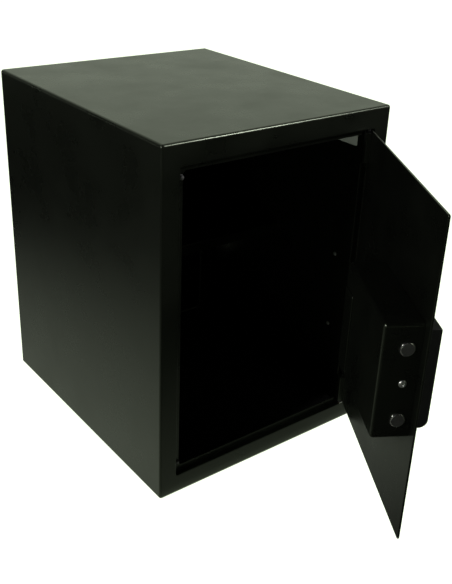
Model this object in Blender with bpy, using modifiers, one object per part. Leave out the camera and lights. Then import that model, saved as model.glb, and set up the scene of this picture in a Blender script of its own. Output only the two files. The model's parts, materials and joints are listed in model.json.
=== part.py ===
"""Steel drop box for parcels: a front door with an electronic lock and a rear deposit flap.

Frame: origin at the centre of the underside, +X to the right seen from the front,
+Y to the back, +Z up, metres.  Sub-parts are described in the closed-door position;
everything on the door hangs on one empty that stands on the hinge axis and is turned
by OPEN_ANGLE.
"""
import math

import bmesh
import bpy
from mathutils import Matrix, Vector

# Cabinet
WIDTH = 0.377
DEPTH = 0.4356
HEIGHT = 0.508
SHEET = 0.002
GAP = 0.0003
LEFT, RIGHT = -WIDTH / 2, WIDTH / 2
FRONT, BACK = -DEPTH / 2, DEPTH / 2
CORNER_RADIUS = 0.0042
FRONT_RADIUS = 0.0034
ANCHOR_RADIUS = 0.00525

# Front opening, measured from the cabinet's left side and underside
OPENING_LEFT = LEFT + 0.027
OPENING_RIGHT = LEFT + 0.3495
OPENING_BOTTOM = 0.030
OPENING_TOP = 0.4775
OPENING_RADIUS = 0.0027
RECESS = 0.0088
LIP_LEFT = 0.0095
LIP_RIGHT = 0.0115
LIP_END = 0.0085
NOTCH_HEIGHT = 0.047

# Door
DOOR_LEFT = LEFT + 0.028
DOOR_RIGHT = LEFT + 0.345
DOOR_BOTTOM = 0.034
DOOR_TOP = 0.476
DOOR_THICKNESS = 0.003
DOOR_INNER = FRONT + DOOR_THICKNESS
HINGE_X = LEFT + 0.3438
HINGE_Y = FRONT + 0.0052
OPEN_ANGLE = math.radians(59.0)
PIN_RADIUS = 0.0025
HINGE_BLOCK_LEFT = HINGE_X - 0.0086
HINGE_BLOCK_RIGHT = HINGE_X + 0.0035
HINGE_BLOCK_INNER = FRONT + 0.0102
UPPER_BLOCK = (OPENING_TOP - 0.0025 - NOTCH_HEIGHT + 0.002, OPENING_TOP - 0.0045)
LOWER_BLOCK = (OPENING_BOTTOM + 0.0057, OPENING_BOTTOM + NOTCH_HEIGHT + 0.002)

# Lock cover on the inner face of the door
COVER_LEFT = LEFT + 0.043
COVER_RIGHT = LEFT + 0.213
COVER_BACK = FRONT + 0.0513
COVER_BOTTOM = 0.1805
COVER_TOP = 0.3386
COVER_SHEET = 0.0015
SCREW_Z = 0.2585
REAR_SCREW_Y = FRONT + 0.017
BOLT_Y = FRONT + 0.0205
BOLT_HEIGHTS = {"lower_bolt": 0.2076, "upper_bolt": 0.3056}
BOLT_RADIUS = 0.0095
BOLT_TRAVEL = 0.016
BOLT_LENGTH = 0.0575
TAIL_RADIUS = 0.004
TAIL_LENGTH = 0.006
GUIDE_BOTTOM, GUIDE_TOP = 0.187, 0.3316

# Knob drive: a crank pin in the carriage's slot
KNOB_X = LEFT + 0.150
KNOB_Z = 0.2542
CRANK_REACH = BOLT_TRAVEL / 2
CRANK_PIN_RADIUS = 0.003
CARRIAGE_Y = FRONT + 0.0318
CARRIAGE_SHEET = 0.003
CARRIAGE_END = LEFT + 0.172
CARRIAGE_TAB = LEFT + 0.0998
CARRIAGE_BOTTOM, CARRIAGE_TOP = 0.197, 0.316
CARRIAGE_ARM = 0.026

# Solenoid over the carriage
SOLENOID_X = LEFT + 0.166
SOLENOID_BOTTOM, SOLENOID_TOP = 0.2932, 0.3232
PLUNGER_BOTTOM = KNOB_Z + CARRIAGE_ARM + 0.0036
PLUNGER_LENGTH = 0.026

# Batteries behind the cover's lid
TRAY_LEFT = LEFT + 0.1776
TRAY_RIGHT = COVER_RIGHT - COVER_SHEET - 0.0006
TRAY_BOTTOM, TRAY_TOP = 0.1945, 0.302
TRAY_WALL = 0.0012
CELL_RADIUS, CELL_LENGTH = 0.00715, 0.0505

# Keypad housing on the outer face of the door
HOUSING_LEFT = LEFT + 0.056
HOUSING_RIGHT = LEFT + 0.192
HOUSING_BOTTOM = 0.1843
HOUSING_TOP = 0.3232
HOUSING_FRONT = FRONT - 0.024
HOUSING_WALL = 0.0025
HOUSING_CHIN = 0.011
KEY_COLUMNS = [LEFT + x for x in (0.075, 0.094, 0.113)]
KEY_ROWS = [0.2872, 0.2692, 0.2512, 0.2332]
KEY_NAMES = ["1", "2", "3", "4", "5", "6", "7", "8", "9", "clear", "0", "enter"]
KEY_SIZE = (0.0134, 0.0114)
LED_Z = 0.3077
CABLE_HOLE_Z = 0.2682
BOARD_BOTTOM, BOARD_TOP = 0.2212, 0.3162
OVERRIDE_X = LEFT + 0.150
OVERRIDE_Z = 0.2042
OVERRIDE_RADIUS = 0.008
OVERRIDE_LENGTH = 0.038
PLUG_RADIUS = 0.0055
PLUG_LENGTH = 0.033

# Rear deposit opening and its flap
DEPOSIT_HALF_WIDTH = 0.145
DEPOSIT_BOTTOM = 0.378
DEPOSIT_TOP = 0.468
RIM_HALF_WIDTH = 0.159
RIM_BOTTOM = 0.362
RIM_TOP = 0.482
RIM_DEPTH = 0.012
FLAP_AXIS_Y = BACK + 0.007
FLAP_AXIS_Z = 0.474
FLAP_PIN_RADIUS = 0.002

# Sloping baffle under the deposit opening
BAFFLE_BACK = (BACK - 0.0046, 0.372)
BAFFLE_FRONT = (FRONT + 0.218, 0.2585)
BAFFLE_SHEET = 0.0015

# Screws to the neighbouring box in the right side
SIDE_SCREW_Y = FRONT + 0.0765
SIDE_SCREWS = {"upper_side_screw": 0.254, "lower_side_screw": 0.130}

MODEL = "parcel_drop_box"
CUTTERS = "cutters"

COLOURS = {
    "black_steel": ((0.012, 0.013, 0.013), 0.38, 0.0),
    "bright_steel": ((0.62, 0.62, 0.60), 0.30, 1.0),
    "zinc": ((0.55, 0.56, 0.54), 0.42, 1.0),
    "dark_steel": ((0.10, 0.10, 0.10), 0.45, 1.0),
    "black_plastic": ((0.015, 0.015, 0.016), 0.45, 0.0),
    "grey_rubber": ((0.20, 0.20, 0.21), 0.70, 0.0),
    "black_rubber": ((0.02, 0.02, 0.02), 0.80, 0.0),
    "felt": ((0.035, 0.036, 0.037), 0.95, 0.0),
    "bronze": ((0.50, 0.33, 0.16), 0.40, 1.0),
    "circuit_green": ((0.02, 0.14, 0.06), 0.50, 0.0),
    "battery_wrap": ((0.06, 0.07, 0.09), 0.40, 0.0),
    "lens": ((0.03, 0.03, 0.03), 0.10, 0.0),
    "pale_paper": ((0.62, 0.62, 0.60), 0.60, 0.0),
}


# ---------------------------------------------------------------- helpers

def clear_scene():
    for obj in list(bpy.data.objects):
        bpy.data.objects.remove(obj, do_unlink=True)


def collection(name):
    found = bpy.data.collections.get(name)
    if found is None:
        found = bpy.data.collections.new(name)
        bpy.context.scene.collection.children.link(found)
    return found


def material(name):
    found = bpy.data.materials.get(name)
    if found is None:
        colour, roughness, metallic = COLOURS[name]
        found = bpy.data.materials.new(name)
        found.use_nodes = True
        shader = found.node_tree.nodes["Principled BSDF"]
        shader.inputs["Base Color"].default_value = (*colour, 1.0)
        shader.inputs["Roughness"].default_value = roughness
        shader.inputs["Metallic"].default_value = metallic
    return found


def is_chosen(edge, choice, low, high):
    """choice "y" takes edges along Y, "-y" and "+y" those around the low and high Y face.

    "-y-z" takes the edge that the low Y face and the low Z face share.
    """
    if len(choice) == 4:
        return (is_chosen(edge, choice[:2], low, high)
                and is_chosen(edge, choice[2:], low, high))
    axis = "xyz".index(choice[-1])
    first, second = edge.verts[0].co, edge.verts[1].co
    if len(choice) == 1:
        step = first - second
        return abs(step[axis]) > 0.99 * step.length
    level = low[axis] if choice[0] == "-" else high[axis]
    return abs(first[axis] - level) < 1e-6 and abs(second[axis] - level) < 1e-6


def box_shape(low, high, rounds=()):
    """A box between two corners; rounds lists (edge choice, radius, segments)."""
    low, high = Vector(low), Vector(high)
    shape = bmesh.new()
    bmesh.ops.create_cube(shape, size=1.0)
    for vert in shape.verts:
        vert.co = (low + high) / 2 + Vector(c * s for c, s in zip(vert.co, high - low))
    for choice, radius, segments in rounds:
        edges = [e for e in shape.edges if is_chosen(e, choice, low, high)]
        bmesh.ops.bevel(shape, geom=edges, offset=radius, segments=segments,
                        profile=0.5, affect="EDGES")
    return shape


def rod_shape(start, end, radius, sides=24, chamfer=0.0):
    start, end = Vector(start), Vector(end)
    turn = (end - start).to_track_quat("Z", "Y").to_matrix().to_4x4()
    shape = bmesh.new()
    bmesh.ops.create_cone(shape, cap_ends=True, segments=sides, radius1=radius,
                          radius2=radius, depth=(end - start).length)
    if chamfer:
        rims = [e for e in shape.edges if abs(e.verts[0].co.z - e.verts[1].co.z) < 1e-6]
        bmesh.ops.bevel(shape, geom=rims, offset=chamfer, segments=2, profile=0.5,
                        affect="EDGES")
    bmesh.ops.transform(shape, matrix=Matrix.Translation((start + end) / 2) @ turn,
                        verts=shape.verts)
    return shape


def add_object(name, shape, finish, origin=(0, 0, 0), on_door=False):
    """Make a named sub-part from a shape, with its origin where its motion needs it."""
    origin = Vector(origin)
    bmesh.ops.translate(shape, vec=-origin, verts=shape.verts)
    mesh = bpy.data.meshes.new(name)
    shape.to_mesh(mesh)
    shape.free()
    mesh.shade_smooth()
    mesh.set_sharp_from_angle(angle=math.radians(35))
    mesh.materials.append(material(finish))
    obj = bpy.data.objects.new(name, mesh)
    collection(MODEL).objects.link(obj)
    place(obj, origin, on_door)
    return obj


def place(obj, origin, on_door):
    obj.location = origin
    if on_door:
        obj.parent = bpy.data.objects["door_axis"]
        obj.location -= Vector((HINGE_X, HINGE_Y, 0))


def combine(obj, shape, operation, on_door=False):
    """Boolean one more shape into a sub-part: DIFFERENCE cuts it away, UNION adds it."""
    mesh = bpy.data.meshes.new(obj.name + "_tool")
    shape.to_mesh(mesh)
    shape.free()
    tool = bpy.data.objects.new(mesh.name, mesh)
    tool.hide_render = True
    tool.display_type = "WIRE"
    collection(CUTTERS).objects.link(tool)
    place(tool, Vector((0, 0, 0)), on_door)
    step = obj.modifiers.new(operation.lower(), "BOOLEAN")
    step.operation = operation
    step.solver = "EXACT"
    step.object = tool


def cut(obj, shape, on_door=False):
    combine(obj, shape, "DIFFERENCE", on_door)


def join(obj, shape, on_door=False):
    combine(obj, shape, "UNION", on_door)


def folded_sheet(name, outline, across, thickness, bend, finish, on_door=False):
    """Sheet metal folded along its outline; "across" is (axis, low, high) of its width.

    The outline lists the mid-surface's points in the two other axes, in X, Y, Z order.
    """
    axis, low, high = across
    others = [i for i in range(3) if i != "xyz".index(axis)]
    rows = len(outline) - 1
    shape = bmesh.new()
    bmesh.ops.create_grid(shape, x_segments=1, y_segments=rows, size=0.5)
    for vert in shape.verts:
        point = outline[round((vert.co.y + 0.5) * rows)]
        place_at = [0.0, 0.0, 0.0]
        place_at["xyz".index(axis)] = low if vert.co.x < 0 else high
        place_at[others[0]], place_at[others[1]] = point
        vert.co = place_at
    obj = add_object(name, shape, finish, on_door=on_door)
    if rows > 1:
        fold = obj.modifiers.new("bend", "BEVEL")
        fold.width = bend
        fold.segments = 3
        fold.limit_method = "ANGLE"
        fold.angle_limit = math.radians(10)
    skin = obj.modifiers.new("sheet", "SOLIDIFY")
    skin.thickness = thickness
    skin.offset = 0.0
    skin.use_even_offset = True
    return obj


def turned(name, profile, origin, direction, sides, finish, on_door=False):
    """A solid of revolution: profile lists (radius, height), from its top down."""
    shape = bmesh.new()
    verts = [shape.verts.new((radius, 0.0, height)) for radius, height in profile]
    for first, second in zip(verts, verts[1:]):
        shape.edges.new((first, second))
    obj = add_object(name, shape, finish)
    place(obj, Vector(origin), on_door)
    obj.rotation_euler = Vector(direction).to_track_quat("Z", "Y").to_euler()
    spin = obj.modifiers.new("turn", "SCREW")
    spin.steps = sides
    spin.render_steps = sides
    spin.use_merge_vertices = True
    spin.merge_threshold = 0.00001
    spin.use_smooth_shade = True
    return obj


# ---------------------------------------------------------------- cabinet

def opening_shape(margins, radius, y_low, y_high):
    """The front opening's outline, moved inwards by its left, right and end margins."""
    left, right, end = margins
    return box_shape((OPENING_LEFT + left, y_low, OPENING_BOTTOM + end),
                     (OPENING_RIGHT - right, y_high, OPENING_TOP - end),
                     [("y", radius, 4)])


def cabinet_shell():
    shell = add_object("cabinet_shell", box_shape(
        (LEFT, FRONT, 0), (RIGHT, BACK, HEIGHT),
        [("y", CORNER_RADIUS, 3), ("-y", FRONT_RADIUS, 3)]), "black_steel")
    cut(shell, opening_shape((0, 0, 0), OPENING_RADIUS, FRONT - 0.01, FRONT + 0.004))
    cut(shell, box_shape((LEFT + SHEET, FRONT + SHEET, SHEET),
                         (RIGHT - SHEET, BACK + 0.01, HEIGHT - SHEET),
                         [("y", 0.0015, 2)]))
    for x in (-0.12, 0.12):
        for y in (-0.14, 0.14):
            cut(shell, rod_shape((x, y, -0.01), (x, y, 0.01), ANCHOR_RADIUS, 20))
    for z in SIDE_SCREWS.values():
        cut(shell, rod_shape((RIGHT - 0.01, SIDE_SCREW_Y, z), (RIGHT + 0.01, SIDE_SCREW_Y, z),
                             0.0023, 16))


def jamb_frame():
    """Return around the opening with the lip that the closed door stops against."""
    low_y, high_y = FRONT + SHEET + GAP, FRONT + RECESS + SHEET
    frame = add_object("jamb_frame", opening_shape(
        (-SHEET, -SHEET, -SHEET), OPENING_RADIUS + SHEET, low_y, high_y), "black_steel")
    cut(frame, opening_shape((0, 0, 0), OPENING_RADIUS, low_y - 0.005, FRONT + RECESS))
    cut(frame, opening_shape((LIP_LEFT, LIP_RIGHT, LIP_END), 0.006, FRONT, high_y + 0.01))
    notches = ((OPENING_TOP - 0.0025 - NOTCH_HEIGHT, OPENING_TOP - 0.0025),
               (OPENING_BOTTOM + 0.004, OPENING_BOTTOM + 0.004 + NOTCH_HEIGHT))
    for low, high in notches:
        cut(frame, box_shape((HINGE_BLOCK_LEFT - 0.001, FRONT + RECESS - 0.0001, low),
                             (OPENING_RIGHT - 0.0005, high_y + 0.001, high)))
    for low in (OPENING_BOTTOM - 0.004, OPENING_TOP - 0.0015):
        cut(frame, rod_shape((HINGE_X, HINGE_Y, low), (HINGE_X, HINGE_Y, low + 0.0055),
                             PIN_RADIUS + 0.0002))


def hinge_bushes():
    """Blocks above and below the opening that the hinge pins turn in."""
    reach = 0.010
    for name, low, mouth in (
            ("upper_hinge_bush", OPENING_TOP + SHEET + GAP, -1),
            ("lower_hinge_bush", OPENING_BOTTOM - SHEET - GAP - reach, 1)):
        bush = add_object(name, box_shape(
            (HINGE_X - 0.007, FRONT + SHEET + GAP, low),
            (HINGE_X + 0.007, FRONT + SHEET + GAP + 0.010, low + reach),
            [("z", 0.0008, 1)]), "dark_steel")
        start = low - 0.002 if mouth < 0 else low + 0.0025
        cut(bush, rod_shape((HINGE_X, HINGE_Y, start), (HINGE_X, HINGE_Y, start + 0.0095),
                            PIN_RADIUS + 0.0001, 32))


def hinge_spacer():
    """Bronze sleeve on the lower pin, between the door's block and the jamb."""
    low, high = OPENING_BOTTOM + 0.0018, LOWER_BLOCK[0] - GAP
    ring = add_object("hinge_spacer", rod_shape(
        (HINGE_X, HINGE_Y, low), (HINGE_X, HINGE_Y, high), 0.0031, 32), "bronze")
    cut(ring, rod_shape((HINGE_X, HINGE_Y, low - 0.001), (HINGE_X, HINGE_Y, high + 0.001),
                        PIN_RADIUS + 0.0001, 32))


def door_bumpers():
    """Rubber domes on the lip that the closed door meets."""
    for name, z in (("upper_bumper", 0.462), ("lower_bumper", 0.047)):
        turned(name, [(0, 0.0050), (0.0018, 0.0048), (0.0027, 0.0038), (0.0032, 0.0010),
                      (0.0036, 0), (0, 0)],
               (OPENING_LEFT + 0.0055, FRONT + RECESS - GAP, z), (0, -1, 0), 16, "black_rubber")


def rear_panel():
    panel = add_object("rear_panel", box_shape(
        (LEFT + SHEET + GAP, BACK - SHEET, SHEET + GAP),
        (RIGHT - SHEET - GAP, BACK, HEIGHT - SHEET - GAP), [("y", 0.002, 2)]), "black_steel")
    cut(panel, box_shape((-DEPOSIT_HALF_WIDTH, BACK - 0.01, DEPOSIT_BOTTOM),
                         (DEPOSIT_HALF_WIDTH, BACK + 0.01, DEPOSIT_TOP)))
    for x in (-0.12, 0.12):
        for z in (0.12, 0.32):
            cut(panel, rod_shape((x, BACK - 0.01, z), (x, BACK + 0.01, z), ANCHOR_RADIUS, 20))


def deposit_collar():
    """Rim around the flap outside, with a sleeve through the rear panel."""
    wall = 0.0025
    low_y = BACK + GAP
    collar = add_object("deposit_collar", box_shape(
        (-RIM_HALF_WIDTH, low_y, RIM_BOTTOM), (RIM_HALF_WIDTH, BACK + RIM_DEPTH, RIM_TOP),
        [("y", 0.003, 2)]), "black_steel")
    cut(collar, box_shape((-RIM_HALF_WIDTH + wall, low_y + SHEET, RIM_BOTTOM + wall),
                          (RIM_HALF_WIDTH - wall, BACK + RIM_DEPTH + 0.01, RIM_TOP - wall)))
    join(collar, box_shape(
        (-DEPOSIT_HALF_WIDTH + GAP, BACK - 0.014, DEPOSIT_BOTTOM + GAP),
        (DEPOSIT_HALF_WIDTH - GAP, BACK + 0.001, DEPOSIT_TOP - GAP)))
    cut(collar, box_shape(
        (-DEPOSIT_HALF_WIDTH + 0.0018, BACK - 0.02, DEPOSIT_BOTTOM + 0.0018),
        (DEPOSIT_HALF_WIDTH - 0.0018, BACK + 0.02, DEPOSIT_TOP - 0.0018)))
    for side in (-1, 1):
        cut(collar, rod_shape((side * (RIM_HALF_WIDTH - 0.004), FLAP_AXIS_Y, FLAP_AXIS_Z),
                              (side * (RIM_HALF_WIDTH + 0.004), FLAP_AXIS_Y, FLAP_AXIS_Z),
                              FLAP_PIN_RADIUS + 0.0001, 20))


def flap_pin():
    add_object("flap_pin", rod_shape(
        (-RIM_HALF_WIDTH + 0.0005, FLAP_AXIS_Y, FLAP_AXIS_Z),
        (RIM_HALF_WIDTH - 0.0005, FLAP_AXIS_Y, FLAP_AXIS_Z), FLAP_PIN_RADIUS, 20,
        0.0003), "zinc")


def flap_spring():
    """Torsion spring around the middle of the flap's pin, one leg on the collar."""
    turns, per_turn, pitch, radius, wire = 6, 12, 0.0022, 0.0034, 0.0005
    steps = turns * per_turn
    points = []
    for step in range(steps + 1):
        angle = 2 * math.pi * step / per_turn
        points.append((-turns * pitch / 2 + pitch * step / per_turn,
                       FLAP_AXIS_Y + radius * math.cos(angle),
                       FLAP_AXIS_Z + radius * math.sin(angle)))
    end = points[-1]
    points.append((end[0] + 0.001, end[1], end[2] - 0.008))
    curve = bpy.data.curves.new("flap_spring_path", "CURVE")
    curve.dimensions = "3D"
    curve.bevel_depth = wire
    curve.bevel_resolution = 2
    curve.use_fill_caps = True
    path = curve.splines.new("POLY")
    path.points.add(len(points) - 1)
    for target, point in zip(path.points, points):
        target.co = (*point, 1.0)
    curve.materials.append(material("bright_steel"))
    spring = bpy.data.objects.new("flap_spring", curve)
    collection(MODEL).objects.link(spring)


def deposit_flap():
    """Top-hinged flap with a folded finger pull and a rolled knuckle around its pin."""
    plate_y = FLAP_AXIS_Y + 0.0018
    half = RIM_HALF_WIDTH - 0.0045
    flap = folded_sheet("deposit_flap", [
        (plate_y, FLAP_AXIS_Z), (plate_y, RIM_BOTTOM + 0.005),
        (plate_y + 0.011, RIM_BOTTOM + 0.0035)], ("x", -half, half), 0.0015, 0.002,
        "black_steel")
    flap.data.transform(Matrix.Translation((0, -FLAP_AXIS_Y, -FLAP_AXIS_Z)))
    flap.location = (0, FLAP_AXIS_Y, FLAP_AXIS_Z)
    ends = [(side * half, FLAP_AXIS_Y, FLAP_AXIS_Z) for side in (-0.998, 0.998)]
    join(flap, rod_shape(*ends, 0.0035, 20))
    cut(flap, rod_shape((-half - 0.01, FLAP_AXIS_Y, FLAP_AXIS_Z),
                        (half + 0.01, FLAP_AXIS_Y, FLAP_AXIS_Z), FLAP_PIN_RADIUS + 0.0001, 20))
    cut(flap, box_shape((-0.02, FLAP_AXIS_Y - 0.01, FLAP_AXIS_Z - 0.010),
                        (0.02, FLAP_AXIS_Y + 0.01, FLAP_AXIS_Z + 0.01)))


def baffle():
    """Sloping plate that keeps hands in the deposit opening away from the parcels."""
    back_y, back_z = BAFFLE_BACK
    front_y, front_z = BAFFLE_FRONT
    half = WIDTH / 2 - SHEET - 0.0008
    folded_sheet("baffle_plate", [
        (back_y, back_z - 0.018), (back_y, back_z), (front_y, front_z),
        (front_y, front_z - 0.016)], ("x", -half, half), BAFFLE_SHEET, 0.0025, "black_steel")
    slope = (back_z - front_z) / (back_y - front_y)
    for name, side in (("left_baffle_rail", -1), ("right_baffle_rail", 1)):
        wall = side * (WIDTH / 2 - SHEET - GAP - BAFFLE_SHEET / 2)
        inner = wall - side * 0.014
        start, length = front_y + 0.02, 0.17
        drop = (BAFFLE_SHEET + 0.0006) * math.hypot(1, slope)
        rail = folded_sheet(name, [(wall, -0.014), (wall, 0), (inner, 0)],
                            ("y", 0, length), BAFFLE_SHEET, 0.0015, "black_steel")
        rail.location = (0, start, front_z + slope * (start - front_y) - drop)
        rail.rotation_euler = (math.atan(slope), 0, 0)


def cabinet_trim():
    add_object("floor_mat", box_shape(
        (LEFT + 0.008, FRONT + 0.014, SHEET + GAP),
        (RIGHT - 0.008, BACK - 0.006, SHEET + GAP + 0.002), [("z", 0.006, 3)]), "felt")
    add_object("blank_label", box_shape(
        (RIGHT - SHEET - 0.0006, FRONT + 0.054, 0.4344),
        (RIGHT - SHEET - GAP, FRONT + 0.114, 0.4744), [("x", 0.002, 2)]), "pale_paper")
    for name, z in SIDE_SCREWS.items():
        turned(name, [(0, 0.0024), (0.0018, 0.0022), (0.003, 0.0014), (0.0034, GAP),
                      (0.002, GAP), (0.002, -SHEET), (0, -SHEET)],
               (RIGHT - SHEET, SIDE_SCREW_Y, z), (-1, 0, 0), 20, "zinc")


# ---------------------------------------------------------------- door

def door_axis():
    empty = bpy.data.objects.new("door_axis", None)
    collection(MODEL).objects.link(empty)
    empty.location = (HINGE_X, HINGE_Y, 0)
    empty.rotation_euler = (0, 0, OPEN_ANGLE)


def door_panel():
    panel = add_object("door_panel", box_shape(
        (DOOR_LEFT, FRONT, DOOR_BOTTOM), (DOOR_RIGHT, DOOR_INNER, DOOR_TOP),
        [("y", 0.003, 3), ("-y", 0.0012, 2), ("+y", 0.0008, 1)]), "black_steel",
        on_door=True)
    pockets = ((UPPER_BLOCK[0] - GAP, DOOR_TOP + 0.01),
               (DOOR_BOTTOM - 0.01, LOWER_BLOCK[1] + GAP))
    for low, high in pockets:
        cut(panel, box_shape((HINGE_BLOCK_LEFT - GAP, FRONT + 0.002, low),
                             (DOOR_RIGHT + 0.01, DOOR_INNER + 0.01, high)), True)
    for x, z, radius in ((KNOB_X, KNOB_Z, 0.007),
                         (OVERRIDE_X, OVERRIDE_Z, OVERRIDE_RADIUS + GAP),
                         (KEY_COLUMNS[1], CABLE_HOLE_Z, 0.005)):
        cut(panel, rod_shape((x, FRONT - 0.01, z), (x, DOOR_INNER + 0.01, z), radius), True)


def hinge_blocks():
    """Blocks welded into the door's corners, each holding a hinge pin."""
    pins = {"upper": (UPPER_BLOCK[0] + 0.006, OPENING_TOP + SHEET + 0.006),
            "lower": (OPENING_BOTTOM - SHEET - 0.0065, LOWER_BLOCK[1] - 0.006)}
    for side, (low, high) in (("upper", UPPER_BLOCK), ("lower", LOWER_BLOCK)):
        block = add_object(side + "_hinge_block", box_shape(
            (HINGE_BLOCK_LEFT, FRONT + 0.002 + GAP, low),
            (HINGE_BLOCK_RIGHT, HINGE_BLOCK_INNER, high), [("z", 0.0008, 2)]),
            "dark_steel", on_door=True)
        start, end = pins[side]
        bore = (start - 0.0005, high + 0.002) if side == "upper" else (low - 0.002, end + 0.0005)
        cut(block, rod_shape((HINGE_X, HINGE_Y, bore[0]), (HINGE_X, HINGE_Y, bore[1]),
                             PIN_RADIUS + 0.0001, 32), True)
        add_object(side + "_hinge_pin", rod_shape(
            (HINGE_X, HINGE_Y, start), (HINGE_X, HINGE_Y, end), PIN_RADIUS, 32, 0.0005),
            "bright_steel", on_door=True)


def lock_cover():
    """Formed steel cover over the bolt work, open towards the door."""
    cover = add_object("lock_cover", box_shape(
        (COVER_LEFT, DOOR_INNER + GAP, COVER_BOTTOM), (COVER_RIGHT, COVER_BACK, COVER_TOP),
        [("y", 0.0048, 3), ("+y", 0.004, 3)]), "black_steel", on_door=True)
    cut(cover, box_shape(
        (COVER_LEFT + COVER_SHEET, DOOR_INNER - 0.01, COVER_BOTTOM + COVER_SHEET),
        (COVER_RIGHT - COVER_SHEET, COVER_BACK - COVER_SHEET, COVER_TOP - COVER_SHEET),
        [("y", 0.0032, 2), ("+y", 0.0025, 2)]), True)
    for z in BOLT_HEIGHTS.values():
        cut(cover, rod_shape((COVER_LEFT - 0.01, BOLT_Y, z), (COVER_LEFT + 0.01, BOLT_Y, z),
                             BOLT_RADIUS + 0.0005, 40), True)
    cut(cover, rod_shape((COVER_LEFT - 0.01, BOLT_Y, SCREW_Z),
                         (COVER_LEFT + 0.01, BOLT_Y, SCREW_Z), 0.0024, 20), True)
    cut(cover, rod_shape((COVER_RIGHT - 0.01, REAR_SCREW_Y, SCREW_Z),
                         (COVER_RIGHT + 0.01, REAR_SCREW_Y, SCREW_Z), 0.0024, 20), True)
    cut(cover, box_shape((TRAY_LEFT + 0.002, COVER_BACK - 0.005, TRAY_BOTTOM + 0.002),
                         (TRAY_RIGHT - 0.003, COVER_BACK + 0.005, TRAY_TOP - 0.002)), True)


def cover_screws():
    """Pan-head screws that hold the cover to the brackets inside it."""
    head = [(0, 0.0030), (0.0022, 0.0028), (0.0040, 0.0020), (0.0049, 0.0008), (0.0050, GAP),
            (0.0020, GAP), (0.0020, -0.0042), (0, -0.0050)]
    for name, x, y, outward in (("cover_screw", COVER_LEFT, BOLT_Y, -1),
                                ("rear_cover_screw", COVER_RIGHT, REAR_SCREW_Y, 1)):
        screw = turned(name, head, (x, y, SCREW_Z), (outward, 0, 0), 28, "zinc", True)
        for size in ((0.0008, 0.0052), (0.0052, 0.0008)):
            cut(screw, box_shape((x + outward * 0.0020 - 0.0015, y - size[0] / 2,
                                  SCREW_Z - size[1] / 2),
                                 (x + outward * 0.0020 + 0.0015, y + size[0] / 2,
                                  SCREW_Z + size[1] / 2)), True)


def lock_brackets():
    """Folded brackets on the door: the bolts' guide and the cover's rear fixing."""
    leg = COVER_LEFT + COVER_SHEET + 0.0005 + 0.0015
    foot = DOOR_INNER + GAP + 0.0015
    guide = folded_sheet("bolt_guide", [(leg, FRONT + 0.038), (leg, foot), (leg + 0.018, foot)],
                         ("z", GUIDE_BOTTOM, GUIDE_TOP), 0.003, 0.002, "zinc",
                         on_door=True)
    for z in BOLT_HEIGHTS.values():
        cut(guide, rod_shape((leg - 0.005, BOLT_Y, z), (leg + 0.005, BOLT_Y, z),
                             BOLT_RADIUS + 0.0002, 40), True)
    cut(guide, rod_shape((leg - 0.005, BOLT_Y, SCREW_Z), (leg + 0.005, BOLT_Y, SCREW_Z),
                         0.0021, 20), True)
    leg = COVER_RIGHT - COVER_SHEET - 0.0005 - 0.001
    foot = DOOR_INNER + GAP + 0.001
    rear = folded_sheet("rear_bracket", [(leg, FRONT + 0.025), (leg, foot), (leg - 0.016, foot)],
                        ("z", SCREW_Z - 0.016, SCREW_Z + 0.016), 0.002, 0.0015, "zinc",
                        on_door=True)
    cut(rear, rod_shape((leg - 0.005, REAR_SCREW_Y, SCREW_Z),
                        (leg + 0.005, REAR_SCREW_Y, SCREW_Z), 0.0021, 20), True)


def bolts():
    """Two round bolts with turned-down tails held in the carriage."""
    end = -BOLT_LENGTH - TAIL_LENGTH
    profile = [(0, 0), (BOLT_RADIUS - 0.0016, 0), (BOLT_RADIUS, -0.0016),
               (BOLT_RADIUS, -BOLT_LENGTH), (TAIL_RADIUS, -BOLT_LENGTH), (TAIL_RADIUS, end),
               (0, end)]
    for name, z in BOLT_HEIGHTS.items():
        turned(name, profile, (COVER_LEFT - 0.0025, BOLT_Y, z), (-1, 0, 0), 40,
               "bright_steel", True)


def bolt_carriage():
    """Folded plate that ties the two bolts together and carries the crank's slot."""
    tab_x, low, high = CARRIAGE_TAB, CARRIAGE_BOTTOM, CARRIAGE_TOP
    carriage = folded_sheet("bolt_carriage", [
        (tab_x, FRONT + 0.012), (tab_x, CARRIAGE_Y), (CARRIAGE_END, CARRIAGE_Y)],
        ("z", low, high), CARRIAGE_SHEET, 0.0025, "zinc", on_door=True)
    arm_low, arm_high = KNOB_Z - CARRIAGE_ARM, KNOB_Z + CARRIAGE_ARM
    for z_low, z_high in ((low - 0.01, arm_low), (arm_high, high + 0.01)):
        cut(carriage, box_shape((tab_x + 0.006, CARRIAGE_Y - 0.005, z_low),
                                (CARRIAGE_END + 0.01, CARRIAGE_Y + 0.005, z_high)), True)
    for z in BOLT_HEIGHTS.values():
        cut(carriage, rod_shape((tab_x - 0.005, BOLT_Y, z), (tab_x + 0.005, BOLT_Y, z),
                                TAIL_RADIUS + 0.0002, 24), True)
    slot_x = KNOB_X + CRANK_REACH
    half = CRANK_PIN_RADIUS + 0.0006
    cut(carriage, box_shape((slot_x - half, CARRIAGE_Y - 0.005, KNOB_Z + 0.0035),
                            (slot_x + half, CARRIAGE_Y + 0.005, KNOB_Z + 0.016),
                            [("y", 0.002, 3)]), True)


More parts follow.
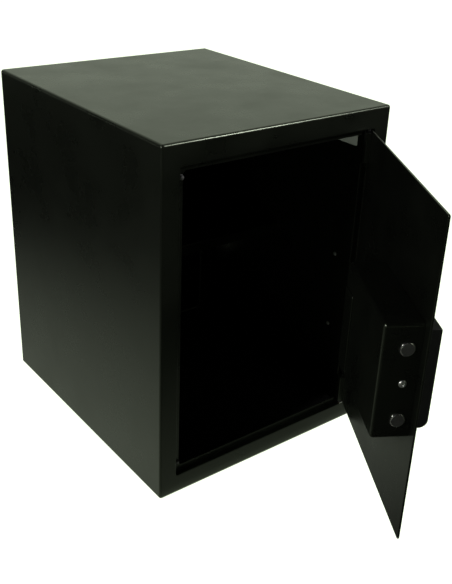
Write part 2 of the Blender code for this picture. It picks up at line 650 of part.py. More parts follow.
def knob_drive():
    """Turning knob outside, its spindle through the door, and the crank inside."""
    knob_back = HOUSING_FRONT - GAP
    axis = (KNOB_X, knob_back, KNOB_Z)
    knob = turned("knob", [(0, 0.0070), (0.0185, 0.0070), (0.0200, 0.0060), (0.0210, 0.0010),
                           (0.0205, 0), (0, 0)], axis, (0, -1, 0), 36, "black_plastic", True)
    join(knob, box_shape((KNOB_X - 0.0065, knob_back - 0.0195, KNOB_Z - 0.019),
                         (KNOB_X + 0.0065, knob_back - 0.001, KNOB_Z + 0.019),
                         [("y", 0.004, 3), ("-y", 0.0015, 2)]), True)
    bore = 0.0041
    cut(knob, rod_shape((KNOB_X, knob_back - 0.012, KNOB_Z), (KNOB_X, knob_back + 0.01, KNOB_Z),
                        bore), True)
    add_object("knob_spindle", rod_shape(
        (KNOB_X, knob_back - 0.0115, KNOB_Z), (KNOB_X, FRONT + 0.029, KNOB_Z), 0.004, 24,
        0.0004), "zinc", axis, True)
    crank = add_object("drive_crank", rod_shape(
        (KNOB_X, FRONT + 0.0245, KNOB_Z), (KNOB_X, FRONT + 0.0285, KNOB_Z), 0.0155, 36,
        0.0004), "dark_steel", axis, True)
    join(crank, rod_shape((KNOB_X + CRANK_REACH, FRONT + 0.0265, KNOB_Z + CRANK_REACH),
                          (KNOB_X + CRANK_REACH, FRONT + 0.0355, KNOB_Z + CRANK_REACH),
                          CRANK_PIN_RADIUS, 20), True)
    cut(crank, rod_shape((KNOB_X, FRONT + 0.02, KNOB_Z), (KNOB_X, FRONT + 0.034, KNOB_Z),
                         bore), True)


def solenoid():
    """Coil on a bracket above the carriage; its plunger drops behind the thrown carriage."""
    x, low, high = SOLENOID_X, SOLENOID_BOTTOM, SOLENOID_TOP
    body = add_object("solenoid_body", box_shape(
        (x - 0.010, FRONT + 0.022, low), (x + 0.010, FRONT + 0.0415, high),
        [("z", 0.0015, 2)]), "dark_steel", on_door=True)
    join(body, box_shape((x - 0.010, DOOR_INNER + GAP, high - 0.0025),
                         (x + 0.010, FRONT + 0.025, high - 0.0005)), True)
    cut(body, rod_shape((x, CARRIAGE_Y, low - 0.005), (x, CARRIAGE_Y, high - 0.004), 0.0032,
                        24), True)
    start = PLUNGER_BOTTOM
    add_object("solenoid_plunger", rod_shape(
        (x, CARRIAGE_Y, start), (x, CARRIAGE_Y, start + PLUNGER_LENGTH), 0.003, 24, 0.0005),
        "bright_steel", (x, CARRIAGE_Y, start), True)


def batteries():
    """Tray behind the cover's lid with two columns of two round cells."""
    front, wall = FRONT + 0.0285, TRAY_WALL
    tray = add_object("battery_tray", box_shape(
        (TRAY_LEFT, front, TRAY_BOTTOM),
        (TRAY_RIGHT, COVER_BACK - COVER_SHEET - 0.003, TRAY_TOP)), "black_plastic",
        on_door=True)
    cut(tray, box_shape((TRAY_LEFT + wall, front + wall, TRAY_BOTTOM + wall),
                        (TRAY_RIGHT - wall, COVER_BACK + 0.01, TRAY_TOP - wall)), True)
    middle = (TRAY_LEFT + TRAY_RIGHT) / 2
    number = 1
    for side in (-1, 1):
        for low in (TRAY_BOTTOM + 0.003, TRAY_BOTTOM + 0.0038 + CELL_LENGTH):
            x = middle + side * 0.0077
            add_object(f"battery_{number}", rod_shape(
                (x, front + 0.010, low), (x, front + 0.010, low + CELL_LENGTH), CELL_RADIUS,
                20, 0.0006), "battery_wrap", on_door=True)
            number += 1
    add_object("battery_lid", box_shape(
        (TRAY_LEFT - 0.003, COVER_BACK + GAP, TRAY_BOTTOM - 0.003),
        (COVER_RIGHT - 0.0045, COVER_BACK + 0.0015, TRAY_TOP + 0.003),
        [("y", 0.003, 2)]), "black_steel", on_door=True)


# ---------------------------------------------------------------- lock's outer side

def keypad_housing():
    """Moulded housing with a rounded chin, flat against the door."""
    housing = add_object("keypad_housing", box_shape(
        (HOUSING_LEFT, HOUSING_FRONT, HOUSING_BOTTOM),
        (HOUSING_RIGHT, FRONT + 0.02, HOUSING_TOP),
        [("-y-z", HOUSING_CHIN, 5), ("-y+z", 0.002, 2), ("-x", 0.0015, 2), ("+x", 0.0015, 2)]),
        "black_plastic", on_door=True)
    cut(housing, box_shape((HOUSING_LEFT - 0.01, FRONT - GAP, HOUSING_BOTTOM - 0.01),
                           (HOUSING_RIGHT + 0.01, FRONT + 0.03, HOUSING_TOP + 0.01)), True)
    wall = HOUSING_WALL
    cut(housing, box_shape(
        (HOUSING_LEFT + wall, HOUSING_FRONT + wall, HOUSING_BOTTOM + wall),
        (HOUSING_RIGHT - wall, FRONT + 0.01, HOUSING_TOP - wall),
        [("-y-z", HOUSING_CHIN - wall, 4)]), True)
    width, height = KEY_SIZE[0] / 2 + GAP, KEY_SIZE[1] / 2 + GAP
    for x in KEY_COLUMNS:
        for z in KEY_ROWS:
            cut(housing, box_shape((x - width, HOUSING_FRONT - 0.01, z - height),
                                   (x + width, HOUSING_FRONT + 0.01, z + height),
                                   [("y", 0.002, 2)]), True)
    cut(housing, box_shape((KEY_COLUMNS[1] - 0.0125, HOUSING_FRONT - 0.01, LED_Z - 0.003),
                           (KEY_COLUMNS[1] + 0.0125, HOUSING_FRONT + 0.01, LED_Z + 0.003),
                           [("y", 0.0025, 3)]), True)
    for x, z, radius in ((KNOB_X, KNOB_Z, 0.0045),
                         (OVERRIDE_X, OVERRIDE_Z, OVERRIDE_RADIUS + GAP)):
        cut(housing, rod_shape((x, HOUSING_FRONT - 0.01, z), (x, HOUSING_FRONT + 0.01, z),
                               radius), True)


def keypad_keys():
    """Rubber keys, each with a flange behind the housing's face that keeps it in."""
    proud, flange = 0.0014, 0.0010
    inside = HOUSING_FRONT + HOUSING_WALL + GAP
    for index, key in enumerate(KEY_NAMES):
        x, z = KEY_COLUMNS[index % 3], KEY_ROWS[index // 3]
        width, height = KEY_SIZE[0] / 2, KEY_SIZE[1] / 2
        cap = add_object("key_" + key, box_shape(
            (x - width, HOUSING_FRONT - proud, z - height),
            (x + width, inside + flange, z + height),
            [("y", 0.0017, 2), ("-y", 0.0006, 2)]), "grey_rubber",
            (x, HOUSING_FRONT, z), True)
        join(cap, box_shape(
            (x - width - 0.001, inside, z - height - 0.001),
            (x + width + 0.001, inside + flange + 0.0008, z + height + 0.001)), True)


def lock_details():
    add_object("circuit_board", box_shape(
        (LEFT + 0.062, FRONT - 0.0155, BOARD_BOTTOM), (LEFT + 0.124, FRONT - 0.0139, BOARD_TOP),
        [("y", 0.002, 2)]), "circuit_green", on_door=True)
    add_object("led_window", box_shape(
        (KEY_COLUMNS[1] - 0.0122, HOUSING_FRONT - 0.0003, LED_Z - 0.0027),
        (KEY_COLUMNS[1] + 0.0122, HOUSING_FRONT + 0.005, LED_Z + 0.0027),
        [("y", 0.0023, 3)]), "lens", on_door=True)
    barrel = turned("override_cylinder", [
        (0, 0.0012), (0.0085, 0.0012), (0.0095, GAP), (OVERRIDE_RADIUS, GAP),
        (OVERRIDE_RADIUS, -OVERRIDE_LENGTH), (0, -OVERRIDE_LENGTH)],
        (OVERRIDE_X, HOUSING_FRONT, OVERRIDE_Z), (0, -1, 0), 32,
        "bright_steel", True)
    cut(barrel, rod_shape((OVERRIDE_X, HOUSING_FRONT - 0.01, OVERRIDE_Z),
                          (OVERRIDE_X, HOUSING_FRONT + PLUG_LENGTH, OVERRIDE_Z),
                          PLUG_RADIUS + 0.0001, 28), True)
    face = HOUSING_FRONT - 0.0010
    plug = add_object("override_plug", rod_shape(
        (OVERRIDE_X, face, OVERRIDE_Z), (OVERRIDE_X, face + PLUG_LENGTH, OVERRIDE_Z),
        PLUG_RADIUS, 28, 0.0003), "bright_steel", (OVERRIDE_X, face, OVERRIDE_Z), True)
    cut(plug, box_shape((OVERRIDE_X - 0.0008, face - 0.01, OVERRIDE_Z - 0.0038),
                        (OVERRIDE_X + 0.0008, face + 0.020, OVERRIDE_Z + 0.0038)), True)


def build():
    clear_scene()
    door_axis()
    cabinet_shell()
    jamb_frame()
    hinge_bushes()
    hinge_spacer()
    door_bumpers()
    rear_panel()
    deposit_collar()
    flap_pin()
    flap_spring()
    deposit_flap()
    baffle()
    cabinet_trim()
    door_panel()
    hinge_blocks()
    lock_cover()
    cover_screws()
    lock_brackets()
    bolts()
    bolt_carriage()
    knob_drive()
    solenoid()
    batteries()
    keypad_housing()
    keypad_keys()
    lock_details()


build()
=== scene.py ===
"""Looks of the parcel drop box: fine sheet-metal pieces and materials around the CAD frame.

Pieces on the door are made in the closed-door position and turned to rest by DOOR_TURN.
Lengths are in metres.
"""
import json
import math

import bmesh
import bpy
from mathutils import Matrix, Vector


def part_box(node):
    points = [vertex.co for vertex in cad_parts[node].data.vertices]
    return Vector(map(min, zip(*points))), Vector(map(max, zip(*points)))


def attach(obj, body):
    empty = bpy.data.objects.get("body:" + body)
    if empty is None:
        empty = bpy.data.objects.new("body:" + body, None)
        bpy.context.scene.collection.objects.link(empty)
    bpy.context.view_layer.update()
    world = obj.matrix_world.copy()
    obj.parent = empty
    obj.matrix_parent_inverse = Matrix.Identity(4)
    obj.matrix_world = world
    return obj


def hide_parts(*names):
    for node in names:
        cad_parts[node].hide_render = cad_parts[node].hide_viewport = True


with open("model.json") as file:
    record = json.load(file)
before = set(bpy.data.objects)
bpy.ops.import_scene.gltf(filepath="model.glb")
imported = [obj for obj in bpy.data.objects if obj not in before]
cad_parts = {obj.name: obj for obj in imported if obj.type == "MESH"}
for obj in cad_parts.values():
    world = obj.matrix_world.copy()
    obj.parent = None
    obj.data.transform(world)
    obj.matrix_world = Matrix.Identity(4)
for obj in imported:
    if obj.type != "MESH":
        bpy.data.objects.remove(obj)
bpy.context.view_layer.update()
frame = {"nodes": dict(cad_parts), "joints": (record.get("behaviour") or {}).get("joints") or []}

MM = 0.001
SCRATCH = 0.02 * MM
JOINTS = {joint["name"]: joint for joint in frame["joints"]}

# Cabinet, read from the frame
SHELL_LOW, SHELL_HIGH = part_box("cabinet_shell")
LEFT, RIGHT = SHELL_LOW.x, SHELL_HIGH.x
FRONT, BACK = SHELL_LOW.y, SHELL_HIGH.y
HEIGHT = SHELL_HIGH.z
SHEET = 2.0 * MM
JAMB_LOW, JAMB_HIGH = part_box("jamb_frame")
OPENING = (JAMB_LOW.x + SHEET, JAMB_HIGH.x - SHEET, JAMB_LOW.z + SHEET, JAMB_HIGH.z - SHEET)
LIP_BACK = JAMB_HIGH.y
LIP_FRONT = LIP_BACK - SHEET
ANCHOR_X = (-120 * MM, 120 * MM)
ANCHOR_Y = (-140 * MM, 140 * MM)
ANCHOR_Z = (120 * MM, 320 * MM)
ANCHOR_RADIUS = 5.25 * MM

# Door, in its closed position
HINGE = Vector(JOINTS["door_hinge"]["pos_m"])
OPEN_ANGLE = -math.radians(JOINTS["door_hinge"]["range_deg"][0])
DOOR_TURN = (Matrix.Translation(HINGE) @ Matrix.Rotation(OPEN_ANGLE, 4, "Z")
             @ Matrix.Translation(-HINGE))


def closed_box(node):
    """Low and high corner of a door node when the door is closed."""
    obj = frame["nodes"][node]
    back = DOOR_TURN.inverted() @ obj.matrix_world
    points = [back @ vert.co for vert in obj.data.vertices]
    return (Vector(min(p[i] for p in points) for i in range(3)),
            Vector(max(p[i] for p in points) for i in range(3)))


def closed_rect(node):
    """The node's outline seen from the front: x0, x1, z0, z1."""
    low, high = closed_box(node)
    return (low.x, high.x, low.z, high.z)


def middle(node):
    """Middle of a door node's box when the door is closed."""
    low, high = closed_box(node)
    return (low + high) / 2


DOOR = closed_rect("door_panel")
DOOR_INNER = closed_box("door_panel")[1].y
COVER = closed_rect("lock_cover")
COVER_BACK = closed_box("lock_cover")[1].y
HOUSING = closed_rect("keypad_housing")
HOUSING_FRONT = closed_box("keypad_housing")[0].y
KNOB = (middle("knob").x, middle("knob").z)
OVERRIDE = (middle("override_plug").x, middle("override_plug").z)
BOLT_Y = middle("upper_bolt").y
BOLT_RADIUS = 0.5 * (closed_box("upper_bolt")[1].z - closed_box("upper_bolt")[0].z)
BOLT_END = closed_box("upper_bolt")[0].x


# ---------------------------------------------------------------- mesh helpers

def rounded_ring(rect, y, radius, steps=8):
    """Points of a rounded rectangle (x0, x1, z0, z1) in the plane y."""
    x0, x1, z0, z1 = rect
    radius = max(radius, 0.05 * MM)
    corners = ((x1 - radius, z1 - radius), (x0 + radius, z1 - radius),
               (x0 + radius, z0 + radius), (x1 - radius, z0 + radius))
    points = []
    for quarter, (x, z) in enumerate(corners):
        for step in range(steps + 1):
            angle = math.radians(90 * (quarter + step / steps))
            points.append((x + radius * math.cos(angle), y, z + radius * math.sin(angle)))
    return points


def inset(rect, amount):
    return (rect[0] + amount, rect[1] - amount, rect[2] + amount, rect[3] - amount)


def profile_rings(rect, radius, profile, steps=8):
    """Rings for a profile of (inset, y) points; each inset takes the same off the corner radius."""
    return [rounded_ring(inset(rect, amount), y, radius - amount, steps)
            for amount, y in profile]


def arc(centre, radius, start, end, steps=6):
    """(inset, y) points on a circle, from start to end in degrees."""
    points = []
    for step in range(steps + 1):
        angle = math.radians(start + (end - start) * step / steps)
        points.append((centre[0] + radius * math.cos(angle),
                       centre[1] + radius * math.sin(angle)))
    return points


def loft(rings, closed=False):
    """Skin between rings of equal length; the ends are capped unless the loft is closed."""
    shape = bmesh.new()
    rows = [[shape.verts.new(point) for point in ring] for ring in rings]
    pairs = list(zip(rows, rows[1:]))
    if closed:
        pairs.append((rows[-1], rows[0]))
    for first, second in pairs:
        for i in range(len(first)):
            j = (i + 1) % len(first)
            shape.faces.new((first[i], first[j], second[j], second[i]))
    if not closed:
        shape.faces.new(rows[0])
        shape.faces.new(rows[-1][::-1])
    bmesh.ops.recalc_face_normals(shape, faces=shape.faces)
    return shape


def prism(outline, axis, low, high):
    """A closed outline of points in the two other axes, drawn out along one axis."""
    index = "xyz".index(axis)
    others = [i for i in range(3) if i != index]
    rings = []
    for level in (low, high):
        ring = []
        for a, b in outline:
            point = [0.0, 0.0, 0.0]
            point[index], point[others[0]], point[others[1]] = level, a, b
            ring.append(tuple(point))
        rings.append(ring)
    return loft(rings)


def thicken(line, thickness):
    """Closed outline of a sheet whose middle follows a line of 2-D points."""
    left, right = [], []
    for i, point in enumerate(line):
        ahead = (line[min(i + 1, len(line) - 1)] - line[max(i - 1, 0)]).normalized()
        side = Vector((-ahead.y, ahead.x)) * thickness / 2
        left.append(tuple(point + side))
        right.append(tuple(point - side))
    return left + right[::-1]


def sheet_outline(points, thickness, bend, steps=6):
    """Outline of bent sheet metal along a middle line, its corners rounded to a bend radius."""
    line = [Vector(points[0])]
    for before, corner, after in zip(points, points[1:], points[2:]):
        corner = Vector(corner)
        back, ahead = (Vector(before) - corner).normalized(), (Vector(after) - corner).normalized()
        half = 0.5 * back.angle(ahead)
        reach = bend / math.tan(half)
        start, end = corner + back * reach, corner + ahead * reach
        centre = corner + (back + ahead).normalized() * (bend / math.sin(half))
        first, second = start - centre, end - centre
        turn = first.angle_signed(second)
        for step in range(steps + 1):
            arm = first.copy()
            arm.rotate(Matrix.Rotation(-turn * step / steps, 2))
            line.append(centre + arm)
    line.append(Vector(points[-1]))
    return thicken(line, thickness)


def turned(profile, sides=64):
    """Solid of revolution about local Z from (radius, height) points, first to last."""
    rings = []
    for radius, height in profile:
        radius = max(radius, 0.01 * MM)
        rings.append([(radius * math.cos(2 * math.pi * i / sides),
                       radius * math.sin(2 * math.pi * i / sides), height)
                      for i in range(sides)])
    return loft(rings)


def rod(radius, low, high, sides=40):
    return turned([(radius, low), (radius, high)], sides)


def towards(origin, direction):
    """Matrix that puts local Z along a direction, at a point."""
    turn = Vector(direction).to_track_quat("Z", "Y").to_matrix().to_4x4()
    return Matrix.Translation(Vector(origin)) @ turn


def new_object(name, shape):
    mesh = bpy.data.meshes.new(name)
    shape.to_mesh(mesh)
    shape.free()
    obj = bpy.data.objects.new(name, mesh)
    bpy.context.scene.collection.objects.link(obj)
    return obj


def boolean(obj, shape, operation="DIFFERENCE"):
    """Apply one Boolean with a shape given in the object's own space."""
    tool = new_object("tool", shape)
    step = obj.modifiers.new("cut", "BOOLEAN")
    step.operation = operation
    step.solver = "EXACT"
    step.object = tool
    bake_modifiers(obj)
    bpy.data.objects.remove(tool)


def bake_modifiers(obj):
    bpy.context.view_layer.update()
    graph = bpy.context.evaluated_depsgraph_get()
    mesh = bpy.data.meshes.new_from_object(obj.evaluated_get(graph))
    obj.modifiers.clear()
    obj.data = mesh


def at(shape, matrix):
    bmesh.ops.transform(shape, matrix=matrix, verts=shape.verts)
    return shape


def hole(obj, origin, direction, radius, reach=12 * MM, sides=40):
    boolean(obj, at(rod(radius, -reach, reach, sides), towards(origin, direction)))


def soften(obj, width, segments=2, angle=40):
    """Small rounds on the sharp edges that cutting left."""
    step = obj.modifiers.new("soft_edges", "BEVEL")
    step.width = width
    step.segments = segments
    step.limit_method = "ANGLE"
    step.angle_limit = math.radians(angle)
    bake_modifiers(obj)


def finish_piece(obj, body, finish, replaces=(), matrix=None, sharp=38):
    """Shade, place, ride on its body, and hide the CAD nodes it stands for."""
    obj.data.materials.clear()
    obj.data.materials.append(finish)
    obj.data.shade_smooth()
    obj.data.set_sharp_from_angle(angle=math.radians(sharp))
    step = obj.modifiers.new("flat_faces", "WEIGHTED_NORMAL")
    step.keep_sharp = True
    step.weight = 90
    bake_modifiers(obj)
    if matrix is not None:
        obj.matrix_world = matrix
    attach(obj, body)
    if replaces:
        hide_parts(*replaces)
    return obj


# ---------------------------------------------------------------- materials

class Nodes:
    """Short way to write a node tree around one Principled shader."""

    def __init__(self, name):
        self.material = bpy.data.materials.new(name)
        self.material.use_nodes = True
        self.tree = self.material.node_tree
        self.shader = self.tree.nodes["Principled BSDF"]
        self.place = self.tree.nodes.new("ShaderNodeTexCoord").outputs["Object"]

    def set(self, **values):
        for name, value in values.items():
            self.shader.inputs[name.replace("_", " ")].default_value = value

    def add(self, kind, inputs=None, **settings):
        node = self.tree.nodes.new(kind)
        for name, value in settings.items():
            setattr(node, name, value)
        for name, value in (inputs or {}).items():
            socket = node.inputs[name]
            if isinstance(value, bpy.types.NodeSocket):
                self.tree.links.new(value, socket)
            else:
                socket.default_value = value
        return node

    def link(self, output, name):
        self.tree.links.new(output, self.shader.inputs[name])

    def noise(self, scale, detail=2.0, roughness=0.5):
        return self.add("ShaderNodeTexNoise", {
            "Vector": self.place, "Scale": scale, "Detail": detail,
            "Roughness": roughness}).outputs["Fac"]

    def spread(self, value, low, high, start=0.0, end=1.0):
        return self.add("ShaderNodeMapRange", {
            "Value": value, "From Min": start, "From Max": end, "To Min": low,
            "To Max": high}).outputs["Result"]

    def blend(self, factor, first, second):
        node = self.add("ShaderNodeMix", {"Factor": factor}, data_type="RGBA")
        for name, value in (("A", first), ("B", second)):
            socket = [s for s in node.inputs if s.name == name and s.type == "RGBA"][0]
            if isinstance(value, bpy.types.NodeSocket):
                self.tree.links.new(value, socket)
            else:
                socket.default_value = (*value, 1.0)
        return [s for s in node.outputs if s.type == "RGBA"][0]

    def bump(self, height, distance, strength=1.0, normal=None):
        inputs = {"Height": height, "Distance": distance, "Strength": strength}
        if normal is not None:
            inputs["Normal"] = normal
        return self.add("ShaderNodeBump", inputs).outputs["Normal"]


def powder_coat(name, tone=1.0, grain=0.04 * MM, rough=(0.25, 0.33)):
    """Semi-gloss black powder coat: orange peel, fine grain and a breath of dust."""
    nodes = Nodes(name)
    peel = nodes.noise(420, 2.0)
    fine = nodes.noise(1500, 2.0, 0.6)
    cloud = nodes.noise(14, 4.0, 0.6)
    dust = nodes.spread(nodes.noise(2600, 1.0), 0.0, 1.0, 0.70, 0.78)
    base = [c * tone for c in (0.0008, 0.0009, 0.0007)]
    light = [c * tone for c in (0.0016, 0.0018, 0.0014)]
    colour = nodes.blend(cloud, base, light)
    colour = nodes.blend(nodes.spread(dust, 0.0, 0.20), colour, (0.014, 0.015, 0.013))
    nodes.link(colour, "Base Color")
    nodes.link(nodes.spread(cloud, rough[0], rough[1], 0.3, 0.7), "Roughness")
    normal = nodes.bump(peel, grain)
    nodes.link(nodes.bump(fine, grain * 0.3, 0.8, normal), "Normal")
    nodes.set(IOR=1.5, Specular_Tint=(0.885, 1.0, 0.755, 1.0))
    return nodes.material


def metal(name, colour, rough, turned_marks=0.0):
    """Bare or plated metal; turned_marks is the spacing of lathe rings about local Z."""
    nodes = Nodes(name)
    cloud = nodes.noise(90, 3.0)
    nodes.link(nodes.blend(cloud, [c * 0.86 for c in colour], colour), "Base Color")
    nodes.link(nodes.spread(cloud, rough[0], rough[1], 0.3, 0.7), "Roughness")
    nodes.set(Metallic=1.0)
    height = nodes.noise(2200, 2.0)
    if turned_marks:
        height = nodes.add("ShaderNodeTexWave", {
            "Vector": nodes.place, "Scale": 0.314 / turned_marks, "Distortion": 0.6,
            "Detail": 1.0, "Detail Scale": 300.0}, wave_type="RINGS",
            rings_direction="Z").outputs["Fac"]
    nodes.link(nodes.bump(height, SCRATCH), "Normal")
    return nodes.material


def bolt_steel(radius):
    """Turned steel: a dull end face inside a bright chamfer and shank."""
    nodes = Nodes("bolt_steel")
    flat = nodes.add("ShaderNodeVectorMath", {0: nodes.place, 1: (1.0, 1.0, 0.0)},
                     operation="MULTIPLY").outputs["Vector"]
    reach = nodes.add("ShaderNodeVectorMath", {0: flat}, operation="LENGTH").outputs["Value"]
    rim = nodes.spread(reach, 0.0, 1.0, radius - 1.9 * MM, radius - 1.5 * MM)
    cloud = nodes.noise(160, 3.0, 0.6)
    face = nodes.blend(cloud, (0.20, 0.20, 0.19), (0.30, 0.30, 0.285))
    nodes.link(nodes.blend(rim, face, (0.80, 0.80, 0.77)), "Base Color")
    nodes.link(nodes.spread(rim, 0.42, 0.20), "Roughness")
    nodes.set(Metallic=1.0)
    rings = nodes.add("ShaderNodeTexWave", {
        "Vector": nodes.place, "Scale": 700.0, "Distortion": 0.6, "Detail": 1.0,
        "Detail Scale": 300.0}, wave_type="RINGS", rings_direction="Z").outputs["Fac"]
    nodes.link(nodes.bump(rings, 0.015 * MM), "Normal")
    return nodes.material


def plastic(name, colour, rough=(0.42, 0.52), texture=0.05 * MM, scale=1300):
    """Moulded plastic or rubber with a fine spark-eroded texture."""
    nodes = Nodes(name)
    cloud = nodes.noise(30, 3.0)
    nodes.link(nodes.blend(cloud, [c * 0.8 for c in colour], [c * 1.15 for c in colour]),
               "Base Color")
    nodes.link(nodes.spread(cloud, rough[0], rough[1], 0.3, 0.7), "Roughness")
    nodes.link(nodes.bump(nodes.noise(scale, 3.0, 0.65), texture), "Normal")
    return nodes.material


BLACK = powder_coat("powder_coat_black")
# Half tone of the black coat: painted shade for the rails deep inside the cabinet.
INSIDE_SHADED = powder_coat("powder_coat_inside_shaded", 0.5)
# Same half tone, painted shade for the baffle inside the cabinet; only its roughness is lower than
# the inside coat.
BAFFLE_COAT = powder_coat("powder_coat_baffle_shaded", 0.5, 0.02 * MM, (0.13, 0.17))
STEEL = metal("turned_steel", (0.60, 0.60, 0.58), (0.28, 0.38), turned_marks=0.35 * MM)
BOLT_STEEL = bolt_steel(BOLT_RADIUS)
ZINC = metal("zinc_plate", (0.62, 0.63, 0.60), (0.26, 0.42))
DARK_STEEL = metal("blackened_steel", (0.09, 0.09, 0.09), (0.38, 0.52))
BRONZE = metal("bearing_bronze", (0.50, 0.33, 0.16), (0.3, 0.45))
HOUSING_PLASTIC = plastic("housing_plastic", (0.004, 0.0042, 0.004), (0.30, 0.38))
KEY_RUBBER = plastic("key_rubber", (0.16, 0.16, 0.17), (0.55, 0.70), 0.03 * MM, 900)
BLACK_RUBBER = plastic("bumper_rubber", (0.02, 0.02, 0.02), (0.65, 0.8))
LEGEND_INK = plastic("legend_ink", (0.75, 0.76, 0.75), (0.5, 0.6), 0.01 * MM)
WRAP = plastic("battery_wrap", (0.05, 0.06, 0.08), (0.25, 0.35), 0.01 * MM)
BOARD = plastic("solder_mask", (0.02, 0.14, 0.06), (0.3, 0.45), 0.03 * MM, 500)
LABEL = plastic("blank_vinyl", (0.30, 0.31, 0.30), (0.45, 0.6), 0.02 * MM, 700)
LENS = plastic("smoked_lens", (0.01, 0.01, 0.01), (0.06, 0.10), 0.002 * MM, 300)


def felt():
    nodes = Nodes("needled_felt")
    fibre = nodes.noise(900, 4.0, 0.75)
    patch = nodes.noise(25, 3.0)
    colour = nodes.blend(patch, (0.004, 0.0042, 0.0042), (0.007, 0.0073, 0.0074))
    nodes.link(nodes.blend(nodes.spread(fibre, 0.0, 0.6, 0.45, 0.8), colour,
                           (0.015, 0.0155, 0.016)), "Base Color")
    nodes.set(Roughness=0.95)
    nodes.link(nodes.bump(fibre, 0.6 * MM), "Normal")
    return nodes.material


FELT = felt()


# ---------------------------------------------------------------- cabinet

def cabinet_skin():
    """One folded sheet: walls, rounded front frame, return and stop lip."""
    walls = (LEFT, RIGHT, 0.0, HEIGHT)
    corner, fold, edge = 4.2 * MM, 3.4 * MM, 0.3 * MM
    lip = (OPENING[0] + 9.5 * MM, OPENING[1] - 11.5 * MM,
           OPENING[2] + 8.5 * MM, OPENING[3] - 8.5 * MM)
    corner_in = 2.7 * MM
    bend, root, lip_edge = 1.7 * MM, 0.9 * MM, 0.7 * MM
    rings = profile_rings(walls, corner, [(edge, BACK), (0, BACK - edge)]
                          + arc((fold, FRONT + fold), fold, 180, 270, 8))
    rings += profile_rings(OPENING, corner_in, arc((-bend, FRONT + bend), bend, 270, 360)
                           + arc((root, LIP_FRONT - root), root, 180, 90))
    rings += profile_rings(lip, 6 * MM,
                           arc((-lip_edge, LIP_FRONT + lip_edge), lip_edge, 270, 360, 4)
                           + arc((-lip_edge, LIP_BACK - lip_edge), lip_edge, 0, 90, 4))
    rings += profile_rings(OPENING, corner_in, [
        (-SHEET, LIP_BACK), (-SHEET, FRONT + SHEET + 0.4 * MM),
        (-SHEET - 0.4 * MM, FRONT + SHEET)])
    rings += profile_rings(walls, corner, [(SHEET + 1 * MM, FRONT + SHEET), (SHEET, FRONT + 3 * MM),
                                           (SHEET, BACK - edge), (SHEET - edge, BACK)])
    skin = new_object("cabinet_skin", loft(rings, closed=True))
    for side in ("upper", "lower"):
        low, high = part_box(side + "_hinge_block")
        left = closed_box(side + "_hinge_block")[0].x - 1 * MM
        notch = (left, OPENING[1] - 0.5 * MM, low.z - 2 * MM, high.z + 2 * MM)
        boolean(skin, loft([rounded_ring(notch, y, 1.5 * MM, 4)
                            for y in (LIP_FRONT - 0.1 * MM, LIP_BACK + 1 * MM)]))
    for side in ("upper", "lower"):
        low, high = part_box(side + "_side_screw")
        hole(skin, (RIGHT, (low.y + high.y) / 2, (low.z + high.z) / 2), (1, 0, 0), 2.3 * MM)
    for x in ANCHOR_X:
        for y in ANCHOR_Y:
            hole(skin, (x, y, 0), (0, 0, 1), ANCHOR_RADIUS)
    finish_piece(skin, "cabinet", BLACK, ("cabinet_shell", "jamb_frame"))


def rear_panel_skin():
    """Back wall with softened holes, set between the walls."""
    low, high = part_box("rear_panel")
    rect = (low.x, high.x, low.z, high.z)
    opening = (-145 * MM, 145 * MM, 378 * MM, 468 * MM)
    rings = profile_rings(rect, 2 * MM, [(0.4 * MM, high.y), (0, high.y - 0.4 * MM),
                                         (0, low.y)])
    rings += profile_rings(opening, 2 * MM, [(0, low.y), (0, high.y - 0.3 * MM),
                                             (-0.3 * MM, high.y)])
    panel = new_object("rear_panel_skin", loft(rings, closed=True))
    for x in ANCHOR_X:
        for z in ANCHOR_Z:
            hole(panel, (x, BACK, z), (0, 1, 0), ANCHOR_RADIUS)
    soften(panel, 0.25 * MM)
    finish_piece(panel, "cabinet", BLACK, ("rear_panel",))


def deposit_surround():
    """Rim around the flap outside, and the sleeve that lines the opening."""
    low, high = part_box("deposit_collar")
    rim = (low.x, high.x, low.z, high.z)
    opening = (-143.2 * MM, 143.2 * MM, 379.8 * MM, 466.2 * MM)
    base, wall, edge = BACK + 0.3 * MM, 2.5 * MM, 1.2 * MM
    rings = profile_rings(rim, 3 * MM, [(0, base)] + arc((edge, high.y - edge), edge, 180, 90)
                          + arc((wall - edge, high.y - edge), edge, 90, 0)
                          + arc((wall + edge, base + SHEET + edge), edge, 180, 270))
    rings += profile_rings(opening, 2 * MM, arc((-edge, base + SHEET - edge), edge, 90, 0)
                           + [(0, low.y + 0.3 * MM), (-0.3 * MM, low.y), (-1.2 * MM, low.y),
                              (-1.5 * MM, low.y + 0.3 * MM), (-1.5 * MM, base)])
    collar = new_object("deposit_surround", loft(rings, closed=True))
    pin_low, pin_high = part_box("flap_pin")
    hole(collar, (pin_low + pin_high) / 2, (1, 0, 0), 2.1 * MM, 0.2)
    finish_piece(collar, "cabinet", BLACK, ("deposit_collar",))


